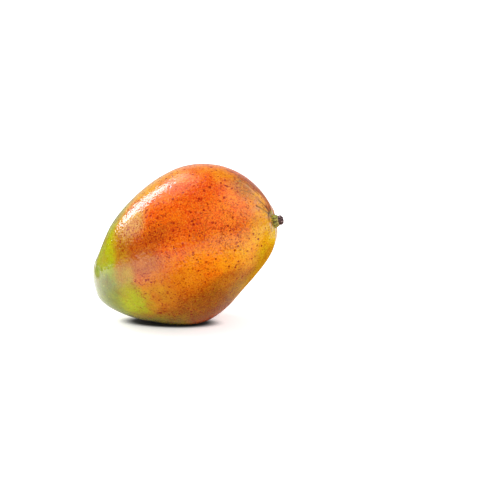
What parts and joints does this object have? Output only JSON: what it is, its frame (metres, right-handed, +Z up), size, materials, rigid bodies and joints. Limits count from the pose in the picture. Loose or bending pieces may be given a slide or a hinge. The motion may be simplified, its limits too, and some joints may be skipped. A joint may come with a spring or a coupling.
{
  "type": "mango",
  "caption": "Whole ripe mango lying on its back edge, red and yellow cheek, green nose with a small beak, short stub of stem at the raised end.",
  "frame": {"origin": "on the resting plane, under the middle of the box round the whole part", "axes": "+Z up, +X towards the raised stem end, the two broad cheeks face -Y and +Y, the nose and its beak at -X"},
  "size_m": [0.1236, 0.085, 0.1027],
  "materials": {
    "skin": "waxy, softly glossy fruit skin with fine pebbling; red-orange cheek, yellow stem end, green nose",
    "stem": "dull green-olive woody stub with a dark dried end"
  },
  "bodies": {
    "root": {"fruit": "skin", "stem": "stem"}
  },
  "joints": []
}
